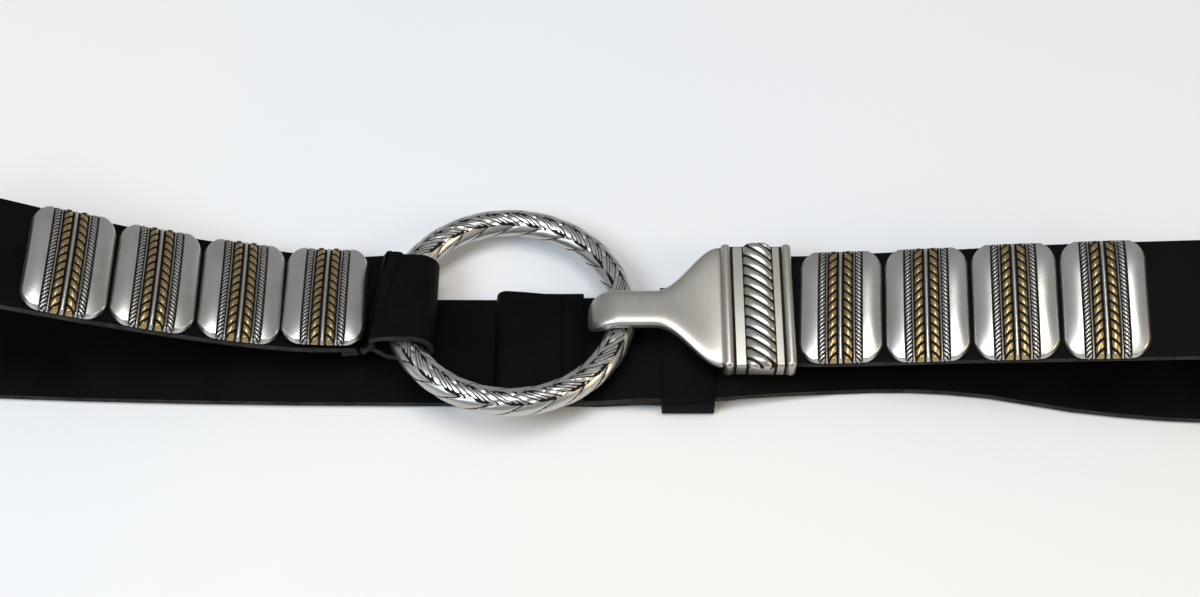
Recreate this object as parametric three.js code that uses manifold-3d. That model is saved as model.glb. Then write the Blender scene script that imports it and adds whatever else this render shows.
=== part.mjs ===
// Medallion belt, closed and lying flat. Millimetres, +Z up, +X along the belt, -Y towards the viewer.
// The sizes are given about the centre of the ring; the whole belt is then set on its own bottom centre.
import * as THREE from 'three';
import { mergeVertices } from 'three/addons/utils/BufferGeometryUtils.js';
import Module from 'manifold-3d';

const wasm = await Module();
wasm.setup();

// Clearance between pieces that touch
const CLEAR = 0.3;

// Leather strap
const STRAP_WIDTH = 40;
const STRAP_THICK = 2.3;
const STRAP_EDGE = 0.55;

// Ring: a casting that looks like a round braid
const RING_RADIUS = 36.3;
const RING_TUBE = 8;
const RING_RELIEF = 0.35;
const RING_CROSSINGS = 24;
const RING_NEAR_UP = 5.5;
const RING_LEFT_UP = 2.6;

// Loop of the belt: how far it reaches from the ring's centre and how it turns
const LEFT_REACH = 221.4;
const LEFT_BEND = 28.3;
const LEFT_SLOPE = 24;
const RIGHT_REACH = 263.5;
const RIGHT_BEND = 20.4;
const RIGHT_SLOPE = 12.5;

// Places of the runs across the belt
const LEFT_LOOP_SIDE = -0.2;
const LEFT_FRONT_SIDE = 3;
const LEFT_FRONT_DRIFT = -3;
const LEFT_BACK_SIDE = -4.4;
const LEFT_BACK_DRIFT = -6.2;
const BUCKLE_SIDE = -1.5;
const RIGHT_FRONT_DRIFT = -12;
const RIGHT_BACK_SIDE = -16;
const RIGHT_UNDER_SIDE = -10.4;

// Left strap: width round the ring, seam and tail behind it, rounded tip
const LOOP_WIDTH = 0.86;
const LOOP_SLACK = 0.3;
const SEAM_REACH = 45.4;
const SEAM_DROP = 3.1;
const TAIL_LENGTH = 9;
const TIP_REACH = 67.5;
const TIP_ROUND = 13;

// Folded end of the right strap on the back
const FOLD_REACH = 4.9;
const FOLD_BULGE = 2.2;
const FLAP_LENGTH = 28.6;

// Leather keeper near the tip
const KEEPER_FROM_TIP = 18.8;
const KEEPER_WIDTH = 16.8;
const KEEPER_THICK = 1.4;
const KEEPER_EDGE = 1;

// Hook buckle
const HOOK_THICK = 4.2;
const HOOK_WIDTH = 13;
const HOOK_HOLLOW = 5.9;
const HOOK_TIP_ANGLE = 193;
const HOOK_SIDE = -3.3;
const HOOK_TILT = -2;
const HOOK_PLAY = 0.65;
const HOOK_SET_BACK = 1.2;
const NECK_END = 46.7;
const SLEEVE_START = 68;
const SLEEVE_LENGTH = 23.2;
const SLEEVE_TOP = 2.6;
const SLEEVE_FLOOR = 1.6;
const SLEEVE_SIDE = 1.5;
const SLEEVE_BACK = 3.6;
const SLEEVE_DROP = 2;
const BUCKLE_TILT = 4;
const RIB_HEIGHT = 1.1;
const RIB_PROUD = 0.5;
const CABLE_HEIGHT = 1.5;
const CABLE_GROOVES = 11;
const CABLE_SLANT = 32;

// Medallions
const MEDALLION_WIDTH = 26.4;
const MEDALLION_LENGTH = 39.6;
const MEDALLION_CORNER = 7;
const MEDALLION_RIM = 1;
const MEDALLION_DOME = 3;
const MEDALLION_GAP = 0.8;
const BUCKLE_GAP = 2.4;
const SEAM_GAP = 1.6;
const ROPE_TURNS = 13;
const ROPE_WAVE = 0.45;
const BAR_HEIGHT = 0.6;

const rad = THREE.MathUtils.degToRad;
const mix = THREE.MathUtils.lerp;
const HALF = STRAP_THICK / 2;
const LAYER = STRAP_THICK + CLEAR;
const SECOND_MID = HALF + LAYER;
const KEEPER_LIFT = KEEPER_THICK + CLEAR;
const KEEPER_START = TIP_REACH - KEEPER_FROM_TIP;
const KEEPER_END = KEEPER_START + KEEPER_WIDTH;
const SLEEVE_END = SLEEVE_START + SLEEVE_LENGTH;
const TUBE_OUT = RING_TUBE / 2 + RING_RELIEF;
// The ring lies on the upper strap of the back at its right and leans up from there
const RING_LEAN = Math.sin(rad(RING_NEAR_UP)) * (STRAP_WIDTH / 2 + RIGHT_UNDER_SIDE + RING_TUBE / 2);
const RING_SIDE_RISE = RING_RADIUS * Math.sin(rad(RING_LEFT_UP));
const RING_RISE = SECOND_MID + HALF + CLEAR + TUBE_OUT + RING_SIDE_RISE + RING_LEAN;
const RING_LEFT_RISE = RING_RISE + RING_SIDE_RISE;
const RING_RIGHT_RISE = RING_RISE - RING_SIDE_RISE;
const HOOK_ARC = HOOK_HOLLOW + HOOK_THICK / 2;
const HOOK_RISE = RING_RIGHT_RISE + TUBE_OUT + HOOK_PLAY - HOOK_HOLLOW;
const NECK_MID = HOOK_RISE + HOOK_ARC;
const SLEEVE_ROOF = NECK_MID + HOOK_THICK / 2 - SLEEVE_DROP;
const BUCKLE_MID = SLEEVE_ROOF - SLEEVE_TOP - CLEAR - HALF;

// Finishes
const leather = new THREE.MeshStandardMaterial({ color: 0x17171a, roughness: 0.55, metalness: 0 });
const antique = new THREE.MeshStandardMaterial({ color: 0xb3b0a8, roughness: 0.32, metalness: 1 });
const pewter = new THREE.MeshStandardMaterial({ color: 0xb7b2a4, roughness: 0.38, metalness: 1 });

// A closed body from rings of points; its two ends are capped unless it closes on itself
function skin(rings, closed = false) {
  const count = rings[0].length;
  const position = rings.flat().flatMap((p) => [p.x, p.y, p.z]);
  const index = [];
  const last = closed ? rings.length : rings.length - 1;
  for (let i = 0; i < last; i += 1) {
    const a = i * count;
    const b = ((i + 1) % rings.length) * count;
    for (let j = 0; j < count; j += 1) {
      const k = (j + 1) % count;
      index.push(a + j, b + j, b + k, a + j, b + k, a + k);
    }
  }
  if (!closed) {
    cap(rings[0], 0, position, index, true);
    cap(rings[rings.length - 1], (rings.length - 1) * count, position, index, false);
  }
  const geometry = new THREE.BufferGeometry();
  geometry.setAttribute('position', new THREE.Float32BufferAttribute(position, 3));
  geometry.setIndex(index);
  return outward(geometry);
}

function cap(ring, start, position, index, first) {
  const middle = new THREE.Vector3();
  ring.forEach((p) => middle.add(p));
  middle.divideScalar(ring.length);
  const centre = position.length / 3;
  position.push(middle.x, middle.y, middle.z);
  for (let j = 0; j < ring.length; j += 1) {
    const k = (j + 1) % ring.length;
    if (first) index.push(centre, start + j, start + k);
    else index.push(centre, start + k, start + j);
  }
}

// Turns a closed body's faces outward
function outward(geometry) {
  const p = geometry.attributes.position;
  const index = geometry.index.array;
  const [a, b, c] = [new THREE.Vector3(), new THREE.Vector3(), new THREE.Vector3()];
  let volume = 0;
  for (let i = 0; i < index.length; i += 3) {
    a.fromBufferAttribute(p, index[i]);
    b.fromBufferAttribute(p, index[i + 1]);
    c.fromBufferAttribute(p, index[i + 2]);
    volume += a.dot(b.cross(c));
  }
  if (volume < 0) {
    for (let i = 0; i < index.length; i += 3) {
      [index[i + 1], index[i + 2]] = [index[i + 2], index[i + 1]];
    }
  }
  return geometry;
}

function solid(geometry) {
  const bare = geometry.clone();
  bare.deleteAttribute('normal');
  bare.deleteAttribute('uv');
  const merged = mergeVertices(bare, 1e-5);
  const mesh = new wasm.Mesh({
    numProp: 3,
    vertProperties: new Float32Array(merged.attributes.position.array),
    triVerts: new Uint32Array(merged.index.array),
  });
  return new wasm.Manifold(mesh);
}

function geometryOf(manifold) {
  const mesh = manifold.getMesh();
  const geometry = new THREE.BufferGeometry();
  geometry.setAttribute('position', new THREE.BufferAttribute(mesh.vertProperties, 3));
  geometry.setIndex(new THREE.BufferAttribute(mesh.triVerts, 1));
  return geometry;
}

// A row's value at a place between the rows of a table
function between(rows, key, column, at) {
  if (at <= rows[0][key]) return rows[0][column];
  for (let i = 1; i < rows.length; i += 1) {
    if (at <= rows[i][key]) {
      const share = (at - rows[i - 1][key]) / (rows[i][key] - rows[i - 1][key]);
      return mix(rows[i - 1][column], rows[i][column], share);
    }
  }
  return rows[rows.length - 1][column];
}

// A station of a strap: place of its middle, tilt across in degrees, width as a share
function station(x, y, z, tilt = 0, width = 1) {
  return { x, y, z, tilt, width };
}

// Stations round a bend in the XZ plane, which eases from one station's side, tilt and width to another's
function bend(cx, cz, radius, angles, steps, first, last) {
  const stations = [];
  for (let i = 0; i <= steps; i += 1) {
    const share = i / steps;
    const angle = rad(mix(angles[0], angles[1], share));
    const ease = share * share * (3 - 2 * share);
    stations.push(station(
      cx + radius * Math.cos(angle),
      mix(first.y, last.y, ease),
      cz + radius * Math.sin(angle),
      mix(first.tilt, last.tilt, ease),
      mix(first.width, last.width, ease),
    ));
  }
  return stations;
}

// Smooth stations between the chosen ones
function smooth(keys, parts) {
  const points = keys.map((k) => new THREE.Vector3(k.x, k.y, k.z));
  const curve = new THREE.CatmullRomCurve3(points, false, 'centripetal');
  const total = (keys.length - 1) * parts;
  const stations = [];
  for (let i = 0; i <= total; i += 1) {
    const from = Math.min(Math.floor(i / parts), keys.length - 2);
    const share = i / parts - from;
    const point = curve.getPoint(i / total);
    const tilt = mix(keys[from].tilt, keys[from + 1].tilt, share);
    const width = mix(keys[from].width, keys[from + 1].width, share);
    stations.push(station(point.x, point.y, point.z, tilt, width));
  }
  return stations;
}

// The frame of a station: along, across and up
function frameAt(stations, i) {
  const a = stations[Math.max(i - 1, 0)];
  const b = stations[Math.min(i + 1, stations.length - 1)];
  const along = new THREE.Vector3(b.x - a.x, b.y - a.y, b.z - a.z).normalize();
  const tilt = rad(stations[i].tilt);
  const across = new THREE.Vector3(0, Math.cos(tilt), Math.sin(tilt));
  across.addScaledVector(along, -across.dot(along)).normalize();
  return { along, across, up: new THREE.Vector3().crossVectors(along, across) };
}

function strapBody(stations) {
  const h = HALF;
  const e = STRAP_EDGE;
  const rings = stations.map((s, i) => {
    const { across, up } = frameAt(stations, i);
    const w = (STRAP_WIDTH * s.width) / 2;
    const outline = [[w - e, h], [w, 0], [w - e, -h], [e - w, -h], [-w, 0], [e - w, h]];
    const middle = new THREE.Vector3(s.x, s.y, s.z);
    return outline.map(([u, v]) => middle.clone().addScaledVector(across, u).addScaledVector(up, v));
  });
  return skin(rings);
}

// Front run of the left strap, as shares of the left reach and of the loop's height there
const leftRun = [
  { run: 0.26, rise: 0.183, tilt: -8 },
  { run: 0.321, rise: 0.213, tilt: -7 },
  { run: 0.434, rise: 0.338, tilt: -6 },
  { run: 0.547, rise: 0.495, tilt: -6 },
  { run: 0.659, rise: 0.68, tilt: -4 },
  { run: 0.727, rise: 0.8, tilt: -2 },
];

// Front run of the right strap, as shares of the way from the sleeve and of the loop's height there
const rightRun = [
  { run: 0.04, rise: 0.335, tilt: 4.5 },
  { run: 0.092, rise: 0.376, tilt: 5 },
  { run: 0.162, rise: 0.434, tilt: 5.5 },
  { run: 0.306, rise: 0.556, tilt: 6 },
  { run: 0.451, rise: 0.674, tilt: 8.5 },
  { run: 0.596, rise: 0.784, tilt: 9 },
  { run: 0.742, rise: 0.89, tilt: 9 },
];

// Back run of the left strap: its side as a share of the way from the bend to the tip
const leftBack = [
  { run: 0, side: 0 },
  { run: 0.19, side: 0.32 },
  { run: 0.3, side: 0.56 },
  { run: 0.52, side: 0.79 },
  { run: 0.6, side: 0.78 },
  { run: 0.69, side: 0.72 },
  { run: 1, side: 1 },
];

// Back run of the right strap: its side as a share of the way from the folded end to the bend
const rightBack = [
  { run: 0, side: 0 },
  { run: 0.15, side: 0 },
  { run: 0.26, side: 0.05 },
  { run: 0.31, side: -0.4 },
  { run: 0.375, side: -0.88 },
  { run: 0.485, side: -1.05 },
  { run: 0.57, side: -0.84 },
  { run: 0.63, side: -0.4 },
  { run: 0.69, side: 0.2 },
  { run: 0.75, side: 0.68 },
  { run: 0.86, side: 0.97 },
];

function leftFrontY(x) {
  const share = (-x - SEAM_REACH) / (LEFT_REACH - LEFT_BEND - SEAM_REACH);
  return LEFT_FRONT_SIDE + LEFT_FRONT_DRIFT * share;
}

function leftBackY(x) {
  const share = (x + LEFT_REACH) / (TIP_REACH + LEFT_REACH);
  return LEFT_BACK_SIDE + LEFT_BACK_DRIFT * between(leftBack, 'run', 'side', share);
}

function rightFrontY(x) {
  const share = (x - SLEEVE_END) / (RIGHT_REACH - RIGHT_BEND - SLEEVE_END);
  return BUCKLE_SIDE + RIGHT_FRONT_DRIFT * share;
}

function rightBackY(x) {
  const share = (x + FOLD_REACH) / (RIGHT_REACH + FOLD_REACH);
  return mix(RIGHT_UNDER_SIDE, RIGHT_BACK_SIDE, between(rightBack, 'run', 'side', share));
}

// The loop round the ring: it holds the tube where the tube leaves the narrow leather
function ringLoopKeys() {
  const wrap = TUBE_OUT + CLEAR + LOOP_SLACK + HALF;
  const half = (STRAP_WIDTH * LOOP_WIDTH) / 2;
  const chord = Math.sqrt(RING_RADIUS ** 2 - half ** 2);
  const inner = -chord + TUBE_OUT * (RING_RADIUS / chord - 1) + CLEAR;
  const rise = RING_LEFT_RISE;
  const tilt = -RING_NEAR_UP;
  const at = station(0, LEFT_LOOP_SIDE, 0, tilt, LOOP_WIDTH);
  const seam = rise - SEAM_DROP;
  const side = LEFT_FRONT_SIDE;
  return [
    station(-SEAM_REACH - TAIL_LENGTH, side, seam - LAYER + 0.6, -7, 1),
    station(-SEAM_REACH, side, seam - LAYER - 0.1, -7, 0.97),
    ...bend(-RING_RADIUS, rise, wrap, [-125, -95], 1, { ...at, y: 1 }, at),
    ...bend(inner, rise, wrap, [-90, 90], 6, at, at),
    ...bend(-RING_RADIUS, rise, wrap, [90, 160], 3, at, { ...at, y: 1 }),
    station(-SEAM_REACH, side, seam, -7, 0.97),
  ];
}

const loopKeys = ringLoopKeys();

function leftKeys() {
  const cx = -LEFT_REACH + LEFT_BEND;
  const cz = HALF + LEFT_BEND;
  const lift = HALF + KEEPER_LIFT;
  const run = leftRun.map((row) => {
    const x = -row.run * LEFT_REACH;
    return station(x, leftFrontY(x), HALF + row.rise * 2 * LEFT_BEND, row.tilt);
  });
  const start = station(0, leftFrontY(cx), 0, -1);
  const end = station(0, leftBackY(cx), 0);
  const back = [0.96, 0.7, 0.35].map((share) => station(cx * share, leftBackY(cx * share), HALF));
  const straight = TIP_REACH - TIP_ROUND;
  const ramp = [
    { x: KEEPER_START - 26, z: HALF },
    { x: KEEPER_START - 20, z: HALF },
    { x: KEEPER_START - 7, z: lift },
    { x: KEEPER_START - 3, z: lift },
    { x: straight, z: lift },
  ].map(({ x, z }) => station(x, leftBackY(x), z));
  const turn = bend(cx, cz, LEFT_BEND, [90 - LEFT_SLOPE, 270], 8, start, end);
  return [...loopKeys, ...run, ...turn, ...back, ...ramp];
}

// The rounded tip of the left strap
function tipStations() {
  const power = 2.6;
  return [0.4, 0.72, 0.92, 1].map((share) => {
    const x = TIP_REACH - TIP_ROUND * (1 - share);
    const width = Math.max((1 - share ** power) ** (1 / power), LOOP_WIDTH / 3);
    return station(x, leftBackY(x), HALF + KEEPER_LIFT, 0, width);
  });
}

function rightKeys() {
  const cx = RIGHT_REACH - RIGHT_BEND;
  const cz = HALF + RIGHT_BEND;
  const pocket = [SLEEVE_START + SLEEVE_BACK + CLEAR, SLEEVE_END - 4, SLEEVE_END]
    .map((x) => station(x, BUCKLE_SIDE, BUCKLE_MID, BUCKLE_TILT));
  const run = rightRun.map((row) => {
    const x = mix(SLEEVE_END, RIGHT_REACH, row.run);
    return station(x, rightFrontY(x), HALF + row.rise * 2 * RIGHT_BEND, row.tilt);
  });
  const start = station(0, rightFrontY(cx), 0, 8);
  const end = station(0, rightBackY(cx), 0);
  const turn = bend(cx, cz, RIGHT_BEND, [90 + RIGHT_SLOPE, -90], 8, start, end);
  const flat = [0.88, 0.8, 0.7, 0.6, 0.5, 0.4]
    .map((share) => mix(-FOLD_REACH, RIGHT_REACH, share))
    .map((x) => station(x, rightBackY(x), HALF));
  const lifted = SECOND_MID + KEEPER_LIFT;
  const raised = [
    { x: KEEPER_END + 7, z: lifted },
    { x: KEEPER_END + 3, z: lifted },
    { x: KEEPER_START - 3, z: lifted },
    { x: KEEPER_START - 7, z: lifted },
    { x: KEEPER_START - 20, z: SECOND_MID },
    { x: 4, z: SECOND_MID },
  ].map(({ x, z }) => station(x, rightBackY(x), z));
  const at = station(0, RIGHT_UNDER_SIDE, 0);
  const foldMiddle = FOLD_BULGE + HALF - FOLD_REACH;
  const fold = bend(foldMiddle, SECOND_MID + FOLD_BULGE, FOLD_BULGE, [270, 90], 4, at, at);
  const flap = [0.55, 1].map((share) => (
    station(FLAP_LENGTH * share - FOLD_REACH, RIGHT_UNDER_SIDE, SECOND_MID + LAYER)
  ));
  return [...pocket, ...run, ...turn, ...flat, ...raised, ...fold, ...flap];
}

// Round back of a strand: one along its middle line, lower to its sides
function strand(angle) {
  const turned = Math.atan2(Math.sin(2 * angle), Math.cos(2 * angle)) / Math.PI;
  return 1 - turned * turned * 1.6;
}

// Ring: two pairs of strands wind opposite ways, one pair outermost on the faces, one on the edges
function ringBody() {
  const steps = RING_CROSSINGS * 4;
  const sides = 10;
  const rings = [];
  for (let i = 0; i < steps; i += 1) {
    const turn = (i / steps) * Math.PI * 2;
    const advance = (turn * RING_CROSSINGS) / 2;
    const ring = [];
    for (let j = 0; j < sides; j += 1) {
      const round = (j / sides) * Math.PI * 2;
      const over = Math.cos(2 * round);
      const high = Math.max(strand(round + advance) - over, strand(round - advance) + over);
      const radius = RING_TUBE / 2 + RING_RELIEF * (high - 1);
      const out = RING_RADIUS + radius * Math.cos(round);
      ring.push(new THREE.Vector3(out * Math.cos(turn), out * Math.sin(turn), radius * Math.sin(round)));
    }
    rings.push(ring);
  }
  const body = skin(rings, true);
  body.rotateY(rad(RING_LEFT_UP));
  body.rotateX(rad(-RING_NEAR_UP));
  return body.translate(0, 0, RING_RISE);
}

// Keeper: a flat band round both straps
function keeperBody() {
  const ends = [KEEPER_START, KEEPER_END];
  const sides = ends.flatMap((x) => [leftBackY(x), rightBackY(x)]);
  const near = Math.min(...sides) - STRAP_WIDTH / 2 - CLEAR;
  const far = Math.max(...sides) + STRAP_WIDTH / 2 + CLEAR;
  const t = KEEPER_THICK;
  const r = KEEPER_EDGE;
  const top = t + 2 * LAYER + CLEAR;
  const band = new THREE.Shape([
    [near - t + r, 0], [far + t - r, 0], [far + t, r], [far + t, top + t - r],
    [far + t - r, top + t], [near - t + r, top + t], [near - t, top + t - r], [near - t, r],
  ].map(([u, v]) => new THREE.Vector2(u, v)));
  const corners = [[near, t], [near, top], [far, top], [far, t]];
  band.holes.push(new THREE.Path(corners.map(([u, v]) => new THREE.Vector2(u, v))));
  const body = new THREE.ExtrudeGeometry(band, { depth: KEEPER_WIDTH, bevelEnabled: false });
  // The outline is drawn flat, so it is turned to stand across the belt
  const standing = new THREE.Matrix4().set(0, 0, 1, KEEPER_START, 1, 0, 0, 0, 0, 1, 0, 0, 0, 0, 0, 1);
  return body.applyMatrix4(standing);
}

// The curl of the hook: width and thickness as shares, narrowing to its tip
const curlRows = [
  { angle: 0, width: 0.3, thick: 0.45 },
  { angle: 0.06, width: 0.44, thick: 0.8 },
  { angle: 0.2, width: 0.66, thick: 1 },
  { angle: 0.38, width: 0.88, thick: 1 },
  { angle: 0.55, width: 1, thick: 1 },
  { angle: 0.72, width: 1, thick: 1 },
  { angle: 0.87, width: 1, thick: 1 },
  { angle: 1, width: 1, thick: 1 },
];

// The flare from the neck to the sleeve, as shares of its length and of the growth in half width
const flareRows = [
  { run: 0, spread: 0 },
  { run: 0.12, spread: 0.04 },
  { run: 0.28, spread: 0.17 },
  { run: 0.5, spread: 0.46 },
  { run: 0.72, spread: 0.76 },
  { run: 0.88, spread: 0.94 },
  { run: 1, spread: 1 },
];

// A pillowed plate section: flat in the middle and rounded down at both edges
function plateSection(origin, out, half, thick, tilt) {
  const h = thick / 2;
  const e = Math.min(2.2, half * 0.45);
  const across = new THREE.Vector3(0, Math.cos(rad(tilt)), Math.sin(rad(tilt)));
  const up = out.clone().addScaledVector(across, -out.dot(across)).normalize();
  const outline = [
    [half - e, h], [half - e * 0.35, h * 0.62], [half, -h * 0.25], [half - 0.5, -h],
    [0.5 - half, -h], [-half, -h * 0.25], [e * 0.35 - half, h * 0.62], [e - half, h],
  ];
  return outline.map(([u, v]) => origin.clone().addScaledVector(across, u).addScaledVector(up, v));
}

function hookPlate() {
  const half = HOOK_WIDTH / 2;
  const sections = curlRows.map((row) => {
    const angle = rad(mix(HOOK_TIP_ANGLE, 90, row.angle));
    const out = new THREE.Vector3(Math.cos(angle), 0, Math.sin(angle));
    const origin = new THREE.Vector3(RING_RADIUS - HOOK_SET_BACK, HOOK_SIDE, HOOK_RISE);
    origin.addScaledVector(out, HOOK_ARC);
    return plateSection(origin, out, half * row.width, HOOK_THICK * row.thick, HOOK_TILT);
  });
  const up = new THREE.Vector3(0, 0, 1);
  const sleeveHalf = STRAP_WIDTH / 2 + CLEAR + SLEEVE_SIDE - 0.3;
  const lip = SLEEVE_ROOF + 0.4 - HOOK_THICK / 2;
  flareRows.forEach((row) => {
    const ease = row.run * row.run * (3 - 2 * row.run);
    const origin = new THREE.Vector3(
      mix(NECK_END, SLEEVE_START - 0.2, row.run),
      mix(HOOK_SIDE, BUCKLE_SIDE, ease),
      mix(NECK_MID, lip, ease),
    );
    sections.push(plateSection(
      origin, up, mix(half, sleeveHalf, row.spread), HOOK_THICK, mix(HOOK_TILT, BUCKLE_TILT, ease),
    ));
  });
  const root = new THREE.Vector3(SLEEVE_START + SLEEVE_BACK - 1, BUCKLE_SIDE, lip - 0.8);
  sections.push(plateSection(root, up, sleeveHalf - 1, HOOK_THICK - 1.4, BUCKLE_TILT));
  return skin(sections);
}

// A bar across the buckle with a rounded top and ends, from one X to another
function crossBar(x0, x1, bottom, top, half, edge) {
  const rows = [
    { share: 0, drop: 0.75 * edge },
    { share: 0.22, drop: 0 },
    { share: 0.78, drop: 0 },
    { share: 1, drop: 0.75 * edge },
  ];
  return skin(rows.map(({ share, drop }) => {
    const w = half - drop;
    const t = top - drop;
    const outline = [
      [w, bottom], [w, t - edge], [w - edge * 0.3, t - edge * 0.3], [w - edge, t],
      [edge - w, t], [edge * 0.3 - w, t - edge * 0.3], [-w, t - edge], [-w, bottom],
    ];
    return outline.map(([y, z]) => new THREE.Vector3(mix(x0, x1, share), y, z));
  }));
}

// The cable: a round bar with slanting grooves
function cableBar(x0, x1, bottom, top, half) {
  let cable = solid(crossBar(x0, x1, bottom, top, half, 2.4));
  for (let i = 0; i < CABLE_GROOVES; i += 1) {
    const groove = new THREE.BoxGeometry(SLEEVE_LENGTH * 0.62, 0.9, 1.6);
    groove.rotateZ(rad(-CABLE_SLANT));
    groove.translate((x0 + x1) / 2, ((i + 0.5) / CABLE_GROOVES - 0.5) * 2 * half, top);
    cable = cable.subtract(solid(groove));
  }
  return cable;
}

// The sleeve that holds the strap's end, about the strap's middle line, with its ribs and cable
function sleeveBody() {
  const half = STRAP_WIDTH / 2 + CLEAR;
  const outer = half + SLEEVE_SIDE;
  const roof = HALF + CLEAR;
  const bottom = -roof - SLEEVE_FLOOR;
  const top = roof + SLEEVE_TOP;
  const place = (share) => SLEEVE_START + share * SLEEVE_LENGTH;
  const rib = (from, to) => (
    solid(crossBar(place(from), place(to), bottom, top + RIB_HEIGHT, outer + RIB_PROUD, 1.5))
  );
  const box = solid(crossBar(place(0), place(0.98), bottom, top, outer, 1.6));
  const cable = cableBar(place(0.34), place(0.72), bottom, top + CABLE_HEIGHT, outer + RIB_PROUD);
  const pocket = new THREE.BoxGeometry(SLEEVE_LENGTH, 2 * half, 2 * roof);
  pocket.translate(SLEEVE_START + SLEEVE_BACK + SLEEVE_LENGTH / 2, 0, 0);
  const body = box.add(rib(0.01, 0.15)).add(rib(0.86, 1)).add(cable).subtract(solid(pocket));
  const geometry = geometryOf(body);
  geometry.rotateX(rad(BUCKLE_TILT));
  return geometry.translate(0, BUCKLE_SIDE, BUCKLE_MID);
}

function buckleBody() {
  const clearPocket = new THREE.BoxGeometry(SLEEVE_LENGTH, STRAP_WIDTH + 2 * CLEAR, STRAP_THICK + 2 * CLEAR);
  clearPocket.rotateX(rad(BUCKLE_TILT));
  clearPocket.translate(SLEEVE_START + SLEEVE_BACK + SLEEVE_LENGTH / 2, BUCKLE_SIDE, BUCKLE_MID);
  return geometryOf(solid(hookPlate()).add(solid(sleeveBody())).subtract(solid(clearPocket)));
}

// Height of a medallion's back line at a place across the strap
function domeAt(y) {
  const share = Math.abs(y) / (MEDALLION_LENGTH / 2);
  return MEDALLION_RIM + MEDALLION_DOME * (1 - 0.75 * share ** 3.2);
}

// Half width of a medallion at a place across the strap, with round corners
function medallionHalf(y) {
  const past = Math.max(Math.abs(y) - (MEDALLION_LENGTH / 2 - MEDALLION_CORNER), 0);
  return MEDALLION_WIDTH / 2 - MEDALLION_CORNER + Math.sqrt(Math.max(MEDALLION_CORNER ** 2 - past ** 2, 0));
}

// The face of a medallion, edge to middle: place as a share of the half width, height over the dome
const faceColumns = [
  { place: 0.78, over: -1.1, wave: 0 },
  { place: 0.52, over: -0.3, wave: 0 },
  { place: 0.43, over: 0.7, wave: 0 },
  { place: 0.33, over: -0.35, wave: 0 },
  { place: 0.25, over: 0.7, wave: ROPE_WAVE },
  { place: 0.11, over: 0.7, wave: -ROPE_WAVE },
];

// One row of a medallion across its width; the twisted ropes rise and fall from row to row
function medallionRow(y, phase) {
  const half = medallionHalf(y);
  const side = (sign) => {
    const points = [[half - 0.3, 0], [half, MEDALLION_RIM * 0.8]];
    faceColumns.forEach(({ place, over, wave }) => {
      const x = Math.min(place * (MEDALLION_WIDTH / 2), half - 0.1 * (1 - place));
      points.push([x, Math.max(domeAt(y) + over + wave * phase, MEDALLION_RIM)]);
    });
    return points.map(([x, z]) => new THREE.Vector3(sign * x, y, z));
  };
  const middle = new THREE.Vector3(0, y, domeAt(y) + BAR_HEIGHT);
  return [...side(1), middle, ...side(-1).reverse()];
}

function medallionBody() {
  const steps = ROPE_TURNS * 2;
  const rows = [];
  for (let i = 0; i <= steps; i += 1) {
    const share = i / steps - 0.5;
    rows.push(medallionRow(share * MEDALLION_LENGTH, i % 2 ? 1 : -1));
  }
  return skin(rows);
}

// Middle of a strap and its direction across at a distance along it from one of its stations
function placeAlong(stations, first, distance) {
  const point = (i) => new THREE.Vector3(stations[i].x, stations[i].y, stations[i].z);
  let i = first;
  let left = distance;
  let step = point(i).distanceTo(point(i + 1));
  while (left > step) {
    left -= step;
    i += 1;
    step = point(i).distanceTo(point(i + 1));
  }
  const share = left / step;
  const across = frameAt(stations, i).across.lerp(frameAt(stations, i + 1).across, share);
  return { middle: point(i).lerp(point(i + 1), share), across: across.normalize() };
}

// Seat of a medallion: along the strap, just clear of the highest place of the leather under it
function seat(stations, first, distance) {
  const under = [-1, -0.5, 0, 0.5, 1].map((share) => (
    placeAlong(stations, first, distance + (share * MEDALLION_WIDTH) / 2)
  ));
  const origin = under[0].middle.clone().lerp(under[4].middle, 0.5);
  const along = under[4].middle.clone().sub(under[0].middle).normalize();
  if (along.x < 0) along.negate();
  const up = new THREE.Vector3().crossVectors(along, under[2].across).normalize();
  const heights = under.flatMap(({ middle, across }) => [-0.5, 0, 0.5].map((share) => (
    middle.clone().addScaledVector(across, share * STRAP_WIDTH).sub(origin).dot(up)
  )));
  origin.addScaledVector(up, Math.max(...heights) + HALF + CLEAR);
  const across = new THREE.Vector3().crossVectors(up, along);
  return new THREE.Matrix4().makeBasis(along, across, up).setPosition(origin);
}

const belt = new THREE.Group();

function add(name, geometry, material) {
  const mesh = new THREE.Mesh(geometry, material);
  mesh.name = name;
  belt.add(mesh);
  return mesh;
}

const PARTS = 2;
const leftStations = smooth(leftKeys(), PARTS);
const rightStations = smooth(rightKeys(), PARTS);
const medallion = medallionBody();

function addMedallions(side, stations, first, start) {
  for (let i = 0; i < 4; i += 1) {
    const distance = start + MEDALLION_WIDTH / 2 + i * (MEDALLION_WIDTH + MEDALLION_GAP);
    const mesh = add(`medallion_${side}_${i + 1}`, medallion.clone(), antique);
    mesh.applyMatrix4(seat(stations, first, distance));
  }
}

add('left_strap', strapBody(leftStations.concat(tipStations())), leather);
add('right_strap', strapBody(rightStations), leather);
add('ring', ringBody(), antique);
add('hook_buckle', buckleBody(), pewter);
add('keeper', keeperBody(), leather);
addMedallions('left', leftStations, (loopKeys.length - 1) * PARTS, SEAM_GAP);
addMedallions('right', rightStations, 2 * PARTS, BUCKLE_GAP);

// The belt stands on the centre of its own footprint
belt.updateMatrixWorld(true);
const box = new THREE.Box3().setFromObject(belt, true);
const centre = box.getCenter(new THREE.Vector3());
belt.position.set(-centre.x, -centre.y, -box.min.z);

export default belt;
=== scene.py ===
"""Medallion belt, fastened and lying flat: its looks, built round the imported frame, in metres."""

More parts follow.
